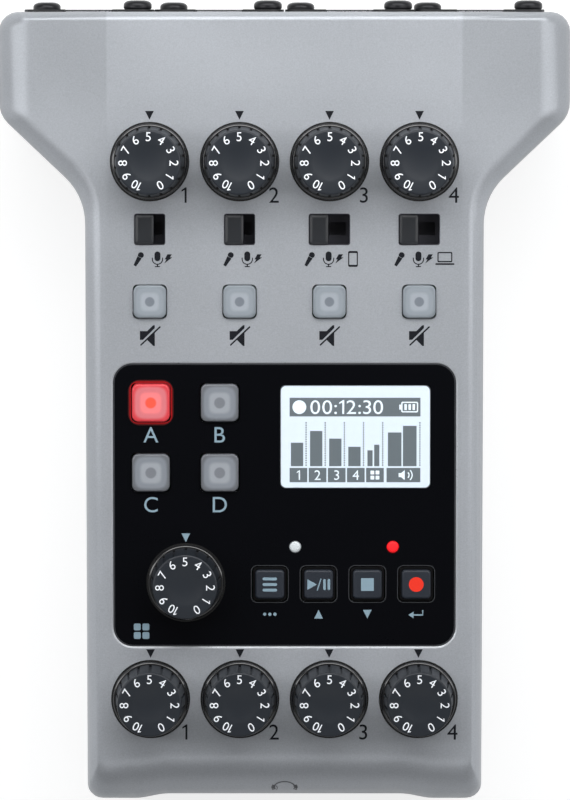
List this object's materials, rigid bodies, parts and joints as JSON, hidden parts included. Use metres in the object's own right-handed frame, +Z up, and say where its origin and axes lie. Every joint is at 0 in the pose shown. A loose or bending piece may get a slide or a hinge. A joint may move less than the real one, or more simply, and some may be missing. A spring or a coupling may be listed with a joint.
{
  "type": "podcast recorder",
  "caption": "Desktop podcast recorder with a sloping deck, turning knobs, slide switches, push pads and keys, a display panel and rear microphone sockets.",
  "frame": {"origin": "on the table, under the middle of the whole object", "axes": "+X to the right, +Y from the front to the rear where the microphone sockets are, +Z up"},
  "size_m": [0.112, 0.1591, 0.0469],
  "materials": {
    "case_silver": "satin silver paint on moulded plastic",
    "case_dark": "fine-grained black moulding",
    "panel_black": "polished black",
    "display_clear": "clear window",
    "lcd": "lit panel in a frame",
    "lens_white": "clear lens",
    "lens_red": "red lens",
    "knob_dark": "satin dark grey",
    "switch_black": "satin black",
    "button_grey": "translucent grey silicone",
    "pad_red": "translucent silicone lit red from below",
    "key_dark": "satin dark grey silicone",
    "part_grey": "pressed tin-plated covers",
    "board_green": "green solder mask",
    "socket_black": "black moulding",
    "bare_steel": "bright plated steel",
    "screw_black": "black oxide",
    "cell_wrap": "plain printed sleeve",
    "foot_rubber": "soft black rubber"
  },
  "bodies": {
    "case": {"top_case": "case_silver", "bottom_case": "case_dark", "display_panel": "panel_black", "display_window": "display_clear", "lcd_module": "lcd", "power_led_lens": "lens_white", "record_led_lens": "lens_red", "slide_switches": "switch_black", "potentiometers": "part_grey", "tact_switches": "part_grey", "power_switch": "part_grey", "main_board": "board_green", "xlr_shells": "socket_black", "xlr_inserts": "socket_black", "phones_jacks": "socket_black", "output_jacks": "socket_black", "smartphone_jack": "socket_black", "usb_ports": "bare_steel", "card_socket": "bare_steel", "battery_contacts": "bare_steel", "case_screws": "bare_steel", "xlr_screws": "screw_black", "battery_cells": "cell_wrap", "rubber_feet": "foot_rubber"},
    "battery_door": {"battery_door": "case_dark"},
    "card_cover": {"card_cover": "case_dark"},
    "power_slider": {"power_slider": "switch_black"},
    "gain_knob_1": {"gain_knob_1": "knob_dark"},
    "gain_knob_2": {"gain_knob_2": "knob_dark"},
    "gain_knob_3": {"gain_knob_3": "knob_dark"},
    "gain_knob_4": {"gain_knob_4": "knob_dark"},
    "pad_level_knob": {"pad_level_knob": "knob_dark"},
    "phones_knob_1": {"phones_knob_1": "knob_dark"},
    "phones_knob_2": {"phones_knob_2": "knob_dark"},
    "phones_knob_3": {"phones_knob_3": "knob_dark"},
    "phones_knob_4": {"phones_knob_4": "knob_dark"},
    "input_switch_1": {"input_switch_1": "switch_black"},
    "input_switch_2": {"input_switch_2": "switch_black"},
    "input_switch_3": {"input_switch_3": "switch_black"},
    "input_switch_4": {"input_switch_4": "switch_black"},
    "mute_button_1": {"mute_button_1": "button_grey"},
    "mute_button_2": {"mute_button_2": "button_grey"},
    "mute_button_3": {"mute_button_3": "button_grey"},
    "mute_button_4": {"mute_button_4": "button_grey"},
    "sound_pad_a": {"sound_pad_a": "pad_red"},
    "sound_pad_b": {"sound_pad_b": "button_grey"},
    "sound_pad_c": {"sound_pad_c": "button_grey"},
    "sound_pad_d": {"sound_pad_d": "button_grey"},
    "menu_key": {"menu_key": "key_dark"},
    "play_key": {"play_key": "key_dark"},
    "stop_key": {"stop_key": "key_dark"},
    "record_key": {"record_key": "key_dark"},
    "xlr_latch_1": {"xlr_latch_1": "bare_steel"},
    "xlr_latch_2": {"xlr_latch_2": "bare_steel"},
    "xlr_latch_3": {"xlr_latch_3": "bare_steel"},
    "xlr_latch_4": {"xlr_latch_4": "bare_steel"}
  },
  "joints": [
    {"name": "battery_door_hinge", "type": "hinge", "parent": "case", "child": "battery_door", "pos_m": [0, 0.0327, 0.0028], "axis": [1, 0, 0], "range_deg": [0, 100]},
    {"name": "card_cover_hinge", "type": "hinge", "parent": "case", "child": "card_cover", "pos_m": [0.038, -0.04852, 0.01372], "axis": [0, 0.9976, 0.0698], "range_deg": [0, 95]},
    {"name": "power_slider_slide", "type": "slide", "parent": "case", "child": "power_slider", "axis": [0, -0.9976, -0.0698], "range_m": [0, 0.003]},
    {"name": "gain_knob_1_turn", "type": "hinge", "parent": "case", "child": "gain_knob_1", "pos_m": [-0.02625, 0.04592, 0.03797], "axis": [0, -0.0698, 0.9976], "range_deg": [-150, 150]},
    {"name": "gain_knob_2_turn", "type": "hinge", "parent": "case", "child": "gain_knob_2", "pos_m": [-0.00875, 0.04592, 0.03797], "axis": [0, -0.0698, 0.9976], "range_deg": [-150, 150]},
    {"name": "gain_knob_3_turn", "type": "hinge", "parent": "case", "child": "gain_knob_3", "pos_m": [0.00875, 0.04592, 0.03797], "axis": [0, -0.0698, 0.9976], "range_deg": [-150, 150]},
    {"name": "gain_knob_4_turn", "type": "hinge", "parent": "case", "child": "gain_knob_4", "pos_m": [0.02625, 0.04592, 0.03797], "axis": [0, -0.0698, 0.9976], "range_deg": [-150, 150]},
    {"name": "pad_level_knob_turn", "type": "hinge", "parent": "case", "child": "pad_level_knob", "pos_m": [-0.0193, -0.03618, 0.03223], "axis": [0, -0.0698, 0.9976], "range_deg": [-150, 150]},
    {"name": "phones_knob_1_turn", "type": "hinge", "parent": "case", "child": "phones_knob_1", "pos_m": [-0.02625, -0.05912, 0.03062], "axis": [0, -0.0698, 0.9976], "range_deg": [-150, 150]},
    {"name": "phones_knob_2_turn", "type": "hinge", "parent": "case", "child": "phones_knob_2", "pos_m": [-0.00875, -0.05912, 0.03062], "axis": [0, -0.0698, 0.9976], "range_deg": [-150, 150]},
    {"name": "phones_knob_3_turn", "type": "hinge", "parent": "case", "child": "phones_knob_3", "pos_m": [0.00875, -0.05912, 0.03062], "axis": [0, -0.0698, 0.9976], "range_deg": [-150, 150]},
    {"name": "phones_knob_4_turn", "type": "hinge", "parent": "case", "child": "phones_knob_4", "pos_m": [0.02625, -0.05912, 0.03062], "axis": [0, -0.0698, 0.9976], "range_deg": [-150, 150]},
    {"name": "input_switch_1_slide", "type": "slide", "parent": "case", "child": "input_switch_1", "axis": [1, 0, 0], "range_m": [0, 0.002]},
    {"name": "input_switch_2_slide", "type": "slide", "parent": "case", "child": "input_switch_2", "axis": [1, 0, 0], "range_m": [0, 0.002]},
    {"name": "input_switch_3_slide", "type": "slide", "parent": "case", "child": "input_switch_3", "axis": [1, 0, 0], "range_m": [0, 0.004]},
    {"name": "input_switch_4_slide", "type": "slide", "parent": "case", "child": "input_switch_4", "axis": [1, 0, 0], "range_m": [0, 0.004]},
    {"name": "mute_button_1_press", "type": "slide", "parent": "case", "child": "mute_button_1", "axis": [0, 0.0698, -0.9976], "range_m": [0, 0.0005], "stiffness_N_per_m": 200, "springref_m": -0.0005},
    {"name": "mute_button_2_press", "type": "slide", "parent": "case", "child": "mute_button_2", "axis": [0, 0.0698, -0.9976], "range_m": [0, 0.0005], "stiffness_N_per_m": 200, "springref_m": -0.0005},
    {"name": "mute_button_3_press", "type": "slide", "parent": "case", "child": "mute_button_3", "axis": [0, 0.0698, -0.9976], "range_m": [0, 0.0005], "stiffness_N_per_m": 200, "springref_m": -0.0005},
    {"name": "mute_button_4_press", "type": "slide", "parent": "case", "child": "mute_button_4", "axis": [0, 0.0698, -0.9976], "range_m": [0, 0.0005], "stiffness_N_per_m": 200, "springref_m": -0.0005},
    {"name": "sound_pad_a_press", "type": "slide", "parent": "case", "child": "sound_pad_a", "axis": [0, 0.0698, -0.9976], "range_m": [0, 0.0005], "stiffness_N_per_m": 200, "springref_m": -0.0005},
    {"name": "sound_pad_b_press", "type": "slide", "parent": "case", "child": "sound_pad_b", "axis": [0, 0.0698, -0.9976], "range_m": [0, 0.0005], "stiffness_N_per_m": 200, "springref_m": -0.0005},
    {"name": "sound_pad_c_press", "type": "slide", "parent": "case", "child": "sound_pad_c", "axis": [0, 0.0698, -0.9976], "range_m": [0, 0.0005], "stiffness_N_per_m": 200, "springref_m": -0.0005},
    {"name": "sound_pad_d_press", "type": "slide", "parent": "case", "child": "sound_pad_d", "axis": [0, 0.0698, -0.9976], "range_m": [0, 0.0005], "stiffness_N_per_m": 200, "springref_m": -0.0005},
    {"name": "menu_key_press", "type": "slide", "parent": "case", "child": "menu_key", "axis": [0, 0.0698, -0.9976], "range_m": [0, 0.0005], "stiffness_N_per_m": 200, "springref_m": -0.0005},
    {"name": "play_key_press", "type": "slide", "parent": "case", "child": "play_key", "axis": [0, 0.0698, -0.9976], "range_m": [0, 0.0005], "stiffness_N_per_m": 200, "springref_m": -0.0005},
    {"name": "stop_key_press", "type": "slide", "parent": "case", "child": "stop_key", "axis": [0, 0.0698, -0.9976], "range_m": [0, 0.0005], "stiffness_N_per_m": 200, "springref_m": -0.0005},
    {"name": "record_key_press", "type": "slide", "parent": "case", "child": "record_key", "axis": [0, 0.0698, -0.9976], "range_m": [0, 0.0005], "stiffness_N_per_m": 200, "springref_m": -0.0005},
    {"name": "xlr_latch_1_press", "type": "slide", "parent": "case", "child": "xlr_latch_1", "axis": [0, -0.9976, -0.0698], "range_m": [0, 0.0015], "stiffness_N_per_m": 300, "springref_m": -0.0005},
    {"name": "xlr_latch_2_press", "type": "slide", "parent": "case", "child": "xlr_latch_2", "axis": [0, -0.9976, -0.0698], "range_m": [0, 0.0015], "stiffness_N_per_m": 300, "springref_m": -0.0005},
    {"name": "xlr_latch_3_press", "type": "slide", "parent": "case", "child": "xlr_latch_3", "axis": [0, -0.9976, -0.0698], "range_m": [0, 0.0015], "stiffness_N_per_m": 300, "springref_m": -0.0005},
    {"name": "xlr_latch_4_press", "type": "slide", "parent": "case", "child": "xlr_latch_4", "axis": [0, -0.9976, -0.0698], "range_m": [0, 0.0015], "stiffness_N_per_m": 300, "springref_m": -0.0005}
  ]
}
